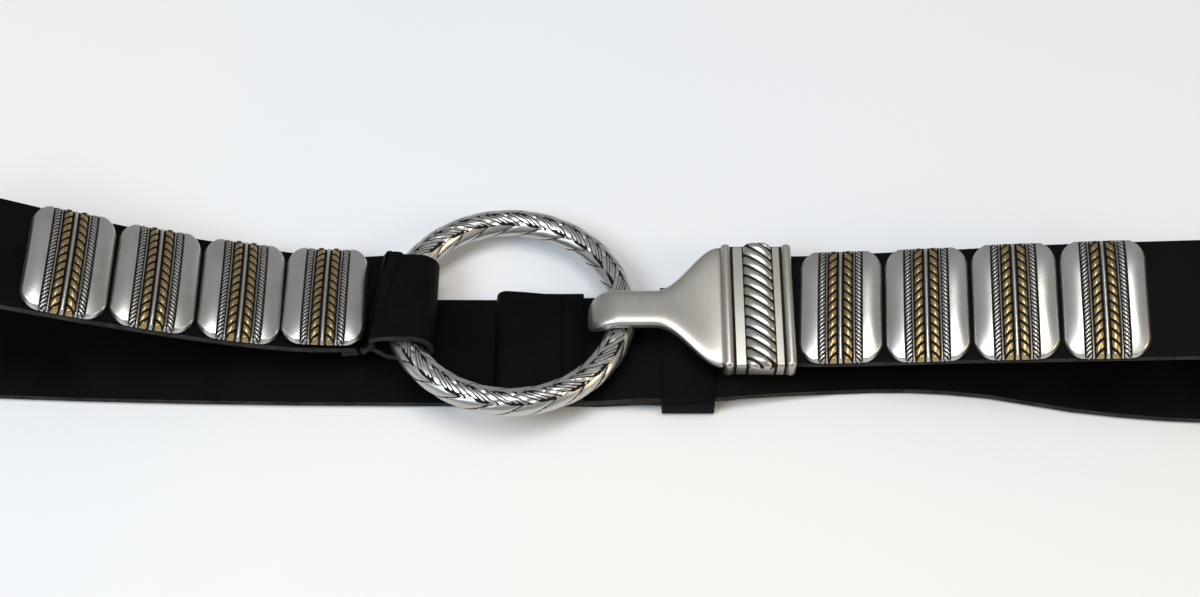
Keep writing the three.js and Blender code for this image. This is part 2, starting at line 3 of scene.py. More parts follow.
import logging
import math
from dataclasses import dataclass
from enum import Enum

import bpy
import numpy as np
from mathutils import Matrix, Vector

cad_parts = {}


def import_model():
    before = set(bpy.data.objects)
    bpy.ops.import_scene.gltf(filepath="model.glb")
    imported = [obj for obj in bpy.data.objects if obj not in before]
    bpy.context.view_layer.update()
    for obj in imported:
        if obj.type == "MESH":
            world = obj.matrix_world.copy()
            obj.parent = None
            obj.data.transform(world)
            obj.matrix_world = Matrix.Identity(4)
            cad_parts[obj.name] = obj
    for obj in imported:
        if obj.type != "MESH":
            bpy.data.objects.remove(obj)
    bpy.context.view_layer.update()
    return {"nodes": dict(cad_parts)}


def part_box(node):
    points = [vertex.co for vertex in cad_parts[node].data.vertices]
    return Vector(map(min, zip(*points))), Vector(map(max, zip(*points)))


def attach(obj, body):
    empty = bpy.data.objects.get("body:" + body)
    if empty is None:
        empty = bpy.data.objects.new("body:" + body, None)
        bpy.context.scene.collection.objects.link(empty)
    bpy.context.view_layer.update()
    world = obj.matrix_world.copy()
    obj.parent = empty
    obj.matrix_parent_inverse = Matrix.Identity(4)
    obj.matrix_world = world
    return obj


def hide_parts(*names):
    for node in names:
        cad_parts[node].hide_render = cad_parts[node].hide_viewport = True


LOG = logging.getLogger("belt")
MM = 0.001
Grid = np.ndarray


class Slot(Enum):
    """Material slots of the record."""

    LEATHER = "leather"
    SILVER = "antique_silver"
    PEWTER = "pewter"


class Axis(Enum):
    """Direction that a brushed finish runs in."""

    ALONG = (1.0, 0.06, 1.0)
    ACROSS = (0.06, 1.0, 1.0)


# Shader maths


class Sock:
    """A socket or a number that adds Math nodes when it is used in an expression."""

    def __init__(self, book: "NodeBook", socket: bpy.types.NodeSocket) -> None:
        """Wraps one output socket.

        Args:
            book: The node book that owns the tree.
            socket: The socket.
        """
        self.book = book
        self.socket = socket

    def _math(self, operation: str, first: object, second: object) -> "Sock":
        """Adds one Math node.

        Args:
            operation: The node's operation.
            first: A number or a Sock.
            second: A number or a Sock.

        Returns:
            The node's result.
        """
        node = self.book.node("ShaderNodeMath", {"operation": operation}, {0: first, 1: second})
        return Sock(self.book, node.outputs[0])

    def __add__(self, other: object) -> "Sock":
        """Sum."""
        return self._math("ADD", self, other)

    __radd__ = __add__

    def __sub__(self, other: object) -> "Sock":
        """Difference."""
        return self._math("SUBTRACT", self, other)

    def __rsub__(self, other: object) -> "Sock":
        """Difference the other way round."""
        return self._math("SUBTRACT", other, self)

    def __mul__(self, other: object) -> "Sock":
        """Product."""
        return self._math("MULTIPLY", self, other)

    def __abs__(self) -> "Sock":
        """Size without sign."""
        return self._math("ABSOLUTE", self, 0.0)

    def at_least(self, other: object) -> "Sock":
        """The larger of the two."""
        return self._math("MAXIMUM", self, other)

    def under(self, limit: float) -> "Sock":
        """One where the value is under the limit, otherwise zero."""
        return self._math("LESS_THAN", self, limit)


class NodeBook:
    """Node tree of one material."""

    def __init__(self, name: str) -> None:
        """Starts an empty material.

        Args:
            name: The material's name.
        """
        self.material = bpy.data.materials.new(name)
        self.material.use_nodes = True
        self.tree = self.material.node_tree
        self.tree.nodes.clear()

    def node(self, kind: str, settings: dict, inputs: dict) -> bpy.types.Node:
        """Makes one node.

        Args:
            kind: The node's type.
            settings: Its settings, or "stops" for a ramp's stops, set first.
            inputs: Values or links of its sockets, by name or number.

        Returns:
            The node.
        """
        made = self.tree.nodes.new(kind)
        for key, value in settings.items():
            if key == "stops":
                self._stops(made.color_ramp, value)
            else:
                setattr(made, key, value)
        for key, value in inputs.items():
            if isinstance(value, Sock):
                self.tree.links.new(value.socket, made.inputs[key])
            else:
                made.inputs[key].default_value = value
        return made

    def _stops(self, ramp: bpy.types.ColorRamp, stops: list[tuple[float, float]]) -> None:
        """Sets a ramp's grey stops.

        Args:
            ramp: The ramp.
            stops: Place and value of each stop.
        """
        while len(ramp.elements) < len(stops):
            ramp.elements.new(0.5)
        for element, (place, value) in zip(ramp.elements, stops):
            element.position = place
            element.color = (value, value, value, 1)

    def out(self, made: bpy.types.Node, key: str | int = 0) -> Sock:
        """One output of a node."""
        return Sock(self, made.outputs[key])

    def ramp(self, value: Sock, stops: list[tuple[float, float]]) -> Sock:
        """A value bent by a ramp."""
        return self.out(self.node("ShaderNodeValToRGB", {"stops": stops}, {0: value}))

    def coordinates(self) -> Sock:
        """Object coordinates."""
        return self.out(self.node("ShaderNodeTexCoord", {}, {}), "Object")

    def attribute(self, name: str) -> Sock:
        """A number stored on the mesh."""
        made = self.node("ShaderNodeAttribute", {"attribute_name": name}, {})
        return self.out(made, "Fac")

    def noise(self, place: Sock, scale: float, detail: float = 3.0) -> Sock:
        """Noise at a scale in cells per metre."""
        inputs = {"Vector": place, "Scale": scale, "Detail": detail}
        return self.out(self.node("ShaderNodeTexNoise", {}, inputs), 0)

    def stretched(self, place: Sock, scale: tuple[float, float, float]) -> Sock:
        """A place stretched along the axes."""
        return self.out(self.node("ShaderNodeMapping", {}, {"Vector": place, "Scale": scale}))

    def mix(self, share: Sock | float, first: object, second: object) -> Sock:
        """A colour between two colours.

        Args:
            share: How much of the second.
            first: Colour or Sock.
            second: Colour or Sock.

        Returns:
            The mixed colour.
        """
        made = self.node("ShaderNodeMix", {"data_type": "RGBA"}, {0: share, 6: first, 7: second})
        return self.out(made, 2)

    def bump(self, height: Sock, strength: float, distance: float) -> Sock:
        """A normal from a height."""
        inputs = {"Height": height, "Strength": strength, "Distance": distance}
        return self.out(self.node("ShaderNodeBump", {}, inputs))

    def finish(self, inputs: dict) -> bpy.types.Material:
        """Closes the material with its surface shader.

        Args:
            inputs: Values or links of the surface shader.

        Returns:
            The material.
        """
        shader = self.node("ShaderNodeBsdfPrincipled", {}, inputs)
        self.node("ShaderNodeOutputMaterial", {}, {"Surface": self.out(shader)})
        return self.material


# Finishes


@dataclass(frozen=True)
class LeatherFinish:
    """Smooth black leather with a fine grain."""

    name: str = "black_leather"
    dark: tuple[float, float, float, float] = (0.0012, 0.0012, 0.0013, 1)
    worn: tuple[float, float, float, float] = (0.0032, 0.0033, 0.0039, 1)
    grain: float = 1500.0
    rough: float = 0.6

    def build(self) -> bpy.types.Material:
        """Makes the material."""
        book = NodeBook(self.name)
        place = book.coordinates()
        patches = book.noise(place, 45.0, 4.0)
        inputs = {"Vector": place, "Scale": self.grain}
        cells = book.out(book.node("ShaderNodeTexVoronoi", {"feature": "F1"}, inputs))
        fibres = book.noise(place, self.grain * 1.7, 2.0)
        height = (1 - cells) * 0.7 + fibres * 0.3
        creases = book.noise(book.stretched(place, (1.0, 0.25, 1.0)), 160.0, 5.0)
        wear = book.ramp(patches, [(0.35, 0.0), (0.75, 1.0)])
        return book.finish(
            {
                "Base Color": book.mix(wear, self.dark, self.worn),
                "Roughness": self.rough + (patches - 0.5) * 0.16 + (creases - 0.5) * 0.1,
                "Specular IOR Level": 0.05,
                "Normal": book.bump(height + creases * 0.6, 0.35, 0.00006),
            }
        )


@dataclass(frozen=True)
class CutEdgeFinish:
    """Cut and burnished edge of the leather, grey and a little fibrous."""

    name: str = "cut_edge"
    dark: tuple[float, float, float, float] = (0.004, 0.0038, 0.0036, 1)
    pale: tuple[float, float, float, float] = (0.032, 0.03, 0.028, 1)

    def build(self) -> bpy.types.Material:
        """Makes the material."""
        book = NodeBook(self.name)
        place = book.coordinates()
        fibres = book.noise(book.stretched(place, (0.25, 1.0, 1.0)), 1900.0, 4.0)
        patches = book.noise(place, 130.0, 3.0)
        share = book.ramp(fibres * 0.45 + patches * 0.55, [(0.35, 0.0), (0.62, 1.0)])
        return book.finish(
            {
                "Base Color": book.mix(share, self.dark, self.pale),
                "Roughness": 0.5 + fibres * 0.25,
                "Specular IOR Level": 0.15,
                "Normal": book.bump(fibres, 0.4, 0.0001),
            }
        )


@dataclass(frozen=True)
class CastSilverFinish:
    """Antique silver casting: bright high places, oxide-black grooves, painted shadow and gold-tone
    ropes.
    """

    name: str = "antique_silver_cast"
    bright: tuple[float, float, float, float] = (0.56, 0.555, 0.535, 1)
    tarnish: tuple[float, float, float, float] = (0.34, 0.3, 0.22, 1)
    # Black for oxide in the hollows, also used for the painted shadow.
    oxide_and_shade_tone: tuple[float, float, float, float] = (0.006, 0.0055, 0.006, 1)
    gold: tuple[float, float, float, float] = (0.43, 0.31, 0.15, 1)
    rough: float = 0.23

    def build(self) -> bpy.types.Material:
        """Makes the material."""
        book = NodeBook(self.name)
        place = book.coordinates()
        # Darkness stored on the mesh: oxide in the hollows, and on the ring painted shadow as well.
        groove_and_shade = book.attribute("groove_and_shade")
        clouds = book.noise(place, 85.0, 5.0)
        specks = book.noise(place, 1300.0, 3.0)
        film = book.ramp(clouds, [(0.5, 0.0), (0.8, 0.55)])
        silver = book.mix(film, self.bright, self.tarnish)
        plated = book.mix(book.attribute("gold"), silver, self.gold)
        # Painted shadow and oxide: the stored darkness made black and non-metallic.
        oxide_and_shade_mask = book.ramp(groove_and_shade + (specks - 0.5) * 0.25, [(0.3, 0.0), (0.75, 1.0)])
        return book.finish(
            {
                "Base Color": book.mix(oxide_and_shade_mask, plated, self.oxide_and_shade_tone),
                "Metallic": 1 - oxide_and_shade_mask,
                "Specular IOR Level": 0.1,
                "Roughness": self.rough + clouds * 0.14 + specks * 0.06 + oxide_and_shade_mask * 0.3,
                "Normal": book.bump(specks + clouds, 0.12, 0.00006),
            }
        )


@dataclass(frozen=True)
class PewterFinish:
    """Satin warm pewter, brushed, with painted shade lines beside the bars and oxide in the
    grooves.
    """

    name: str
    grain: Axis = Axis.ACROSS
    edges: tuple[float, ...] = ()
    bright: tuple[float, float, float, float] = (0.52, 0.505, 0.465, 1)
    warm: tuple[float, float, float, float] = (0.44, 0.41, 0.34, 1)
    # Black for oxide, also used for the painted shade lines.
    oxide_and_shade_tone: tuple[float, float, float, float] = (0.008, 0.007, 0.0065, 1)
    rough: float = 0.27

    def build(self) -> bpy.types.Material:
        """Makes the material."""
        book = NodeBook(self.name)
        place = book.coordinates()
        brushed = book.noise(book.stretched(place, self.grain.value), 2400.0, 4.0)
        clouds = book.noise(place, 70.0, 4.0)
        metal = book.mix(book.ramp(clouds, [(0.4, 0.0), (0.75, 0.8)]), self.bright, self.warm)
        groove_and_shade = book.attribute("groove_and_shade")
        # Painted shade lines in the joints beside the bars, at the given X places.
        if self.edges:
            split = book.node("ShaderNodeSeparateXYZ", {}, {0: place})
            for edge in self.edges:
                groove_and_shade = groove_and_shade.at_least(abs(book.out(split, "X") - edge).under(0.5 * MM))
        # Painted shade with oxide: the darkness made black and non-metallic.
        oxide_and_shade_mask = book.ramp(groove_and_shade + (brushed - 0.5) * 0.2, [(0.3, 0.0), (0.7, 1.0)])
        return book.finish(
            {
                "Base Color": book.mix(oxide_and_shade_mask, metal, self.oxide_and_shade_tone),
                "Metallic": 1 - oxide_and_shade_mask,
                "Specular IOR Level": 0.1,
                "Roughness": self.rough + brushed * 0.16 + clouds * 0.08 + oxide_and_shade_mask * 0.3,
                "Normal": book.bump(brushed, 0.16, 0.00005),
            }
        )


@dataclass(frozen=True)
class ThreadFinish:
    """Waxed black thread."""

    name: str = "waxed_thread"
    dark: tuple[float, float, float, float] = (0.0008, 0.0008, 0.0008, 1)
    pale: tuple[float, float, float, float] = (0.0035, 0.0035, 0.004, 1)

    def build(self) -> bpy.types.Material:
        """Makes the material."""
        book = NodeBook(self.name)
        ply = book.noise(book.stretched(book.coordinates(), (1.0, 0.3, 1.0)), 3800.0, 2.0)
        return book.finish(
            {
                "Base Color": book.mix(ply, self.dark, self.pale),
                "Specular IOR Level": 0.03,
                "Roughness": 0.5 + ply * 0.2,
                "Normal": book.bump(ply, 0.5, 0.0001),
            }
        )


@dataclass(frozen=True)
class PaperFinish:
    """Pale backdrop paper."""

    name: str = "backdrop_paper"
    pale: tuple[float, float, float, float] = (0.7, 0.71, 0.735, 1)
    warm: tuple[float, float, float, float] = (0.74, 0.725, 0.705, 1)

    def build(self) -> bpy.types.Material:
        """Makes the material."""
        book = NodeBook(self.name)
        place = book.coordinates()
        share = book.ramp(book.noise(place, 2.4, 1.0), [(0.4, 0.0), (0.6, 1.0)])
        return book.finish({"Base Color": book.mix(share, self.pale, self.warm), "Roughness": 0.85})


# Work on meshes


class Bench:
    """The operators that shape a piece."""

    @staticmethod
    def only(piece: bpy.types.Object) -> None:
        """Selects one object and nothing else."""
        bpy.ops.object.select_all(action="DESELECT")
        piece.select_set(True)
        bpy.context.view_layer.objects.active = piece

    @staticmethod
    def added(name: str) -> bpy.types.Object:
        """Names the primitive that was just added and gives it back."""
        piece = bpy.context.active_object
        piece.name = name
        piece.data.name = name
        return piece

    @staticmethod
    def modify(piece: bpy.types.Object, kind: str, **settings: object) -> None:
        """Adds a modifier and applies it.

        Args:
            piece: The piece.
            kind: The modifier's type.
            **settings: Its settings.
        """
        Bench.only(piece)
        modifier = piece.modifiers.new(kind.title(), kind)
        for key, value in settings.items():
            setattr(modifier, key, value)
        bpy.ops.object.modifier_apply(modifier=modifier.name)

    @staticmethod
    def tidy(piece: bpy.types.Object, close: bool = False) -> None:
        """Merges doubles, closes open ends if asked and turns the faces outward.

        Args:
            piece: The piece.
            close: Whether open ends are filled.
        """
        Bench.only(piece)
        bpy.ops.object.mode_set(mode="EDIT")
        bpy.ops.mesh.select_all(action="SELECT")
        bpy.ops.mesh.remove_doubles(threshold=1e-6)
        if close:
            bpy.ops.mesh.select_all(action="SELECT")
            bpy.ops.mesh.fill_holes(sides=0)
        bpy.ops.mesh.select_all(action="SELECT")
        bpy.ops.mesh.normals_make_consistent(inside=False)
        bpy.ops.object.mode_set(mode="OBJECT")

    @staticmethod
    def settle(piece: bpy.types.Object) -> None:
        """Puts the piece's place, turn and scale into its mesh."""
        Bench.only(piece)
        bpy.ops.object.transform_apply(location=True, rotation=True, scale=True)

    @staticmethod
    def smooth(piece: bpy.types.Object, degrees: float = 40.0) -> None:
        """Shades smooth, with edges sharper than the angle kept."""
        Bench.only(piece)
        bpy.ops.object.shade_smooth_by_angle(angle=math.radians(degrees))

    @staticmethod
    def store(piece: bpy.types.Object, name: str, values: Grid) -> None:
        """Stores a number on each vertex."""
        layer = piece.data.attributes.new(name, "FLOAT", "POINT")
        layer.data.foreach_set("value", np.asarray(values, dtype=np.float32).ravel())

    @staticmethod
    def points(piece: bpy.types.Object) -> Grid:
        """The places of a piece's vertices."""
        flat = np.empty(len(piece.data.vertices) * 3)
        piece.data.vertices.foreach_get("co", flat)
        return flat.reshape(-1, 3)

    @staticmethod
    def move(piece: bpy.types.Object, points: Grid) -> None:
        """Moves a piece's vertices."""
        piece.data.vertices.foreach_set("co", np.asarray(points).ravel())
        piece.data.update()

    @staticmethod
    def grid(name: str, along: int, around: int) -> tuple[bpy.types.Object, Grid, Grid]:
        """Adds a grid to be shaped.

        Args:
            name: The piece's name.
            along: Faces in the first direction.
            around: Faces in the second direction.

        Returns:
            The piece, and each vertex's share along and around.
        """
        bpy.ops.object.select_all(action="DESELECT")
        bpy.ops.mesh.primitive_grid_add(x_subdivisions=along, y_subdivisions=around, size=1)
        piece = Bench.added(name)
        flat = Bench.points(piece)
        return piece, flat[:, 0] + 0.5, flat[:, 1] + 0.5

    @staticmethod
    def block(
        name: str, size: tuple[float, float, float], middle: tuple[float, float, float]
    ) -> bpy.types.Object:
        """Adds a block at its size and place.

        Args:
            name: The piece's name.
            size: Its size in metres.
            middle: Its middle in metres.

        Returns:
            The piece.
        """
        bpy.ops.object.select_all(action="DESELECT")
        bpy.ops.mesh.primitive_cube_add(size=1, location=middle, scale=size)
        piece = Bench.added(name)
        Bench.settle(piece)
        return piece

    @staticmethod
    def dress(piece: bpy.types.Object, slot: Slot, *materials: bpy.types.Material) -> None:
        """Gives a piece its finishes and its body.

        Args:
            piece: The piece.
            slot: Not used.
            *materials: Its materials, in order.
        """
        piece.data.materials.clear()
        for material in materials:
            piece.data.materials.append(material)
        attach(piece, "root")
        LOG.info("%s: %d faces", piece.name, len(piece.data.polygons))


def ease(share: Grid | float) -> Grid | float:
    """A share that starts and ends gently."""
    return share * share * (3 - 2 * share)


def step(low: float, high: float, value: Grid) -> Grid:
    """Rises gently from 0 to 1 between two values."""
    return ease(np.clip((value - low) / (high - low), 0, 1))


@dataclass
class Datum:
    """The ring's centre on the table, which every place on the belt is measured from, in mm."""

    origin: Vector
    ring_rise: float

    @staticmethod
    def read() -> "Datum":
        """Reads the datum off the frame."""
        low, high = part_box("ring")
        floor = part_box("keeper")[0][2]
        middle = [(a + b) / 2 for a, b in zip(low, high)]
        return Datum(Vector((middle[0], middle[1], floor)), (middle[2] - floor) / MM)

    def metres(self, points: Grid) -> Grid:
        """Places in mm about the datum, in metres in the frame."""
        return np.asarray(points) * MM + np.array(self.origin)


# Ring


@dataclass
class BraidedRing:
    """Cast ring that looks like a round braid: lined strands over plain ones."""

    datum: Datum
    radius: float = 36.3
    base: float = 3.42
    relief: float = 0.72
    crossings: int = 24
    pitch: float = 4.8
    lean: float = 0.3
    swing: float = 0.5
    sink: float = 0.2
    lined_half: float = 0.68
    line_place: float = 0.2
    line_depth: float = 0.3
    plain_crown: float = 0.95
    plain_half: float = 1.03
    near_up: float = 5.5
    left_up: float = 2.6
    steps: int = 1152
    sides: int = 84

    def relief_at(self, turn: Grid, round_: Grid) -> tuple[Grid, Grid]:
        """Height and darkness of the braid.

        Args:
            turn: Angle round the ring.
            round_: Angle round the tube, from the outside over the top.

        Returns:
            Height in shares of the relief, and how dark the place is.
        """
        count = self.crossings / self.pitch
        lined = self.wave(count * (round_ + self.pitch * turn))
        plain = self.wave(count * (round_ - self.pitch * turn) + math.pi)
        facing = np.cos(2 * (round_ - self.lean * np.sin(turn)))
        over = -self.swing * facing - self.sink
        half = self.lined_half
        ridge = np.sqrt(np.clip(1 - (lined / half) ** 2, 0, 1))
        cut = 1 - step(0.05, 0.13, abs(abs(lined) - self.line_place))
        back = 0.4 + 0.32 * ridge - self.line_depth * cut
        high = np.where(abs(lined) < half, back, -1.0) + over
        crown = self.plain_crown * np.sqrt(np.clip(1 - (plain / self.plain_half) ** 4, 0, 1))
        low = crown - self.plain_crown * over - 0.05
        seam = 1 - step(0.05, 0.16, abs(high - low))
        beside = step(-0.5, -0.1, facing)
        # Dark rims of the plain strands, oxide in the hollows, darker where the lined strands lie
        # over them.
        rim = step(0.84, 0.94, abs(plain)) * (0.35 + 0.65 * beside)
        # Painted shadow on the plain strands beside the lined ones.
        shadow = (1 - beside) * (1 - step(half + 0.03, half + 0.14, abs(lined)))
        border = step(half - 0.17, half - 0.08, abs(lined))
        # Darkness: oxide in the cuts, borders, rims and seams, plus the painted shadow.
        dark = np.where(high > low, np.maximum(cut, border), np.maximum(rim, shadow))
        return np.maximum(high, low), np.maximum(dark, seam)

    @staticmethod
    def wave(angle: Grid) -> Grid:
        """An angle wrapped to -1 to 1."""
        return np.arctan2(np.sin(angle), np.cos(angle)) / math.pi

    def build(self) -> None:
        """Models the ring from a torus whose surface rises into strands."""
        bpy.ops.object.select_all(action="DESELECT")
        bpy.ops.mesh.primitive_torus_add(
            major_segments=self.steps, minor_segments=self.sides, major_radius=1.0, minor_radius=0.1
        )
        piece = Bench.added("braided_ring")
        flat = Bench.points(piece)
        turn = np.arctan2(flat[:, 1], flat[:, 0])
        round_ = np.arctan2(flat[:, 2], np.hypot(flat[:, 0], flat[:, 1]) - 1.0)
        turn = turn - np.sin(round_ - math.pi / 2) / self.pitch
        height, dark = self.relief_at(turn, round_)
        tube = self.base + self.relief * height
        out = self.radius + tube * np.cos(round_)
        shaped = np.stack([out * np.cos(turn), out * np.sin(turn), tube * np.sin(round_)], axis=1)
        turned = Matrix.Rotation(-math.radians(self.near_up), 3, "X") @ Matrix.Rotation(
            math.radians(self.left_up), 3, "Y"
        )
        shaped = shaped @ np.array(turned).T + np.array([0, 0, self.datum.ring_rise])
        Bench.move(piece, self.datum.metres(shaped))
        # Stored darkness: oxide in the braid's hollows and painted shadow beside the lined strands.
        Bench.store(piece, "groove_and_shade", dark)
        Bench.store(piece, "gold", np.zeros(len(dark)))
        Bench.smooth(piece, 70)
        Bench.dress(piece, Slot.SILVER, CastSilverFinish(name="ring_silver", rough=0.2).build())
        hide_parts("ring")


# Medallions


@dataclass
class Rope:
    """One twisted rope on a medallion."""

    place: float
    radius: float
    turns: int
    hand: int
    gold: float
    bare: float

    def relief_at(self, x: Grid, y: Grid, length: float) -> tuple[Grid, Grid, Grid]:
        """Height of the rope over its channel, how dark it is and whether it is there.

        Args:
            x: Place across the medallion.
            y: Place along the rope.
            length: The medallion's length.

        Returns:
            Height in mm, darkness, and one where the rope is.
        """
        share = np.clip((x - self.place) / self.radius, -1, 1)
        lay = np.arcsin(share) * self.radius * 0.8 * self.hand
        phase = (y + lay) * self.turns / length
        strand = 2 * abs(phase - np.floor(phase) - 0.5)
        lobe = np.sqrt(np.clip(1 - strand**2, 0, 1))
        back = np.sqrt(np.clip(1 - share**2, 0, 1))
        there = (abs(x - self.place) < self.radius).astype(float)
        height = self.radius * (0.95 * back * (0.6 + 0.4 * lobe))
        dark = np.maximum(step(self.bare, self.bare + 0.24, strand), step(0.8, 0.94, abs(share)))
        return height * there, dark, there


@dataclass
class Medallion:
    """Rounded cast plate with ropes down its middle and smooth domed sides."""

    width: float = 26.4
    length: float = 39.6
    corner: float = 7.0
    rim: float = 0.9
    dome: float = 3.0
    field: float = 6.95
    columns: int = 118
    rows: int = 190

    ropes: tuple[Rope, ...] = (
        Rope(-5.75, 0.96, 29, -1, 0.0, 0.36),
        Rope(-2.4, 1.3, 13, -1, 1.0, 0.5),
        Rope(2.4, 1.3, 13, 1, 1.0, 0.5),
        Rope(5.75, 0.96, 29, 1, 0.0, 0.36),
    )

    def half_at(self, y: Grid) -> Grid:
        """Half width at a place along the medallion."""
        past = np.clip(abs(y) - (self.length / 2 - self.corner), 0, self.corner)
        return self.width / 2 - self.corner + np.sqrt(self.corner**2 - past**2)

    def surface(self, x: Grid, y: Grid) -> tuple[Grid, Grid, Grid]:
        """The face of the medallion.

        Args:
            x: Place across.
            y: Place along.

        Returns:
            Height in mm, darkness and goldness.
        """
        sy = abs(y) / (self.length / 2)
        crown = self.rim + self.dome * (1 - 0.78 * sy**3.2)
        side = np.clip((abs(x) - self.field) / (self.width / 2 - self.field), 0, 1)
        height = self.rim + (crown - self.rim) * (1 - 0.72 * side**2.4)
        inside = abs(x) < self.field
        height = np.where(inside, crown - 0.85, height)
        dark = inside.astype(float)
        gold = np.zeros_like(x)
        for line, half, rise in ((0.0, 0.6, 0.85), (-4.32, 0.3, 0.6), (4.32, 0.3, 0.6)):
            share = np.clip(abs(x - line) / half, 0, 1)
            on = abs(x - line) < half
            height = height + np.where(on, rise * np.sqrt(1 - share**2), 0)
            dark = np.where(on, step(0.6, 1.0, share), dark)
        for rope in self.ropes:
            rise, shade, there = rope.relief_at(x, y, self.length)
            height = height + rise
            dark = np.where(there > 0, shade, dark)
            gold = np.maximum(gold, there * rope.gold)
        return np.maximum(height, self.rim), dark, gold

    def template(self) -> bpy.types.Object:
        """Models one medallion about its own seat, in mm."""
        piece, across, along = Bench.grid("medallion_template", self.columns, self.rows)
        y = (along - 0.5) * self.length
        half = self.half_at(y)
        u = across * 2 - 1
        inner = 0.72
        field = np.minimum(self.field + 0.05, half * 0.985)
        outer = np.clip((abs(u) - inner) / (1 - inner), 0, 1)
        inside = abs(u) / inner * field
        x = np.sign(u) * np.where(abs(u) < inner, inside, field + (half - field) * outer)
        height, dark, gold = self.surface(x, y)
        edge = np.minimum((half - abs(x)) * 1.0, self.length / 2 - abs(y))
        lip = step(0.0, 0.7, edge)
        height = self.rim * 0.55 + (height - self.rim * 0.55) * lip
        Bench.move(piece, np.stack([x, y, height], axis=1))
        Bench.store(piece, "groove_and_shade", dark)
        Bench.store(piece, "gold", gold)
        self.back(piece)
        return piece

    def back(self, piece: bpy.types.Object) -> None:
        """Extrudes the edge of the face down to a flat back.

        Args:
            piece: The face.
        """
        Bench.only(piece)
        bpy.ops.object.mode_set(mode="EDIT")
        bpy.ops.mesh.select_mode(type="EDGE")
        bpy.ops.mesh.select_all(action="DESELECT")
        bpy.ops.mesh.select_non_manifold()
        bpy.ops.mesh.extrude_region_move(TRANSFORM_OT_translate={"value": (0, 0, -self.rim)})
        bpy.ops.transform.resize(value=(1, 1, 0), center_override=(0, 0, 0))
        bpy.ops.mesh.fill()
        bpy.ops.mesh.select_all(action="SELECT")
        bpy.ops.mesh.normals_make_consistent(inside=False)
        bpy.ops.object.mode_set(mode="OBJECT")
        Bench.smooth(piece, 55)


@dataclass
class MedallionRow:
    """The medallions of one side of the belt, each on its own seat."""

    side: str
    template: bpy.types.Object
    material: bpy.types.Material
    count: int = 4

    @staticmethod
    def seat(node: bpy.types.Object) -> Matrix:
        """Reads a medallion's seat off its CAD node.

        Args:
            node: The CAD node.

        Returns:
            The matrix from millimetres about the seat to the frame.
        """
        points = np.unique(np.round(Bench.points(node), 6), axis=0)
        middle = points.mean(axis=0)
        axes = np.linalg.svd(points - middle, full_matrices=False)[2]
        up = axes[2] * np.sign(axes[2][2])
        along = axes[1] * np.sign(axes[1][0])
        across = np.cross(up, along)
        origin = middle + up * ((points - middle) @ up).min()
        matrix = Matrix.Identity(4)
        for row in range(3):
            values = (along[row] * MM, across[row] * MM, up[row] * MM, origin[row])
            for column, value in enumerate(values):
                matrix[row][column] = value
        return matrix

    def build(self, nodes: dict[str, bpy.types.Object]) -> None:
        """Copies the medallion to each seat.

        Args:
            nodes: The frame's nodes.
        """
        for index in range(1, self.count + 1):
            node = f"medallion_{self.side}_{index}"
            piece = self.template.copy()
            piece.data = self.template.data.copy()
            piece.name = piece.data.name = f"relief_{self.side}_{index}"
            bpy.context.scene.collection.objects.link(piece)
            piece.data.transform(self.seat(nodes[node]))
            piece.data.update()
            Bench.dress(piece, Slot.SILVER, self.material)
            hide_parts(node)


# Hook buckle


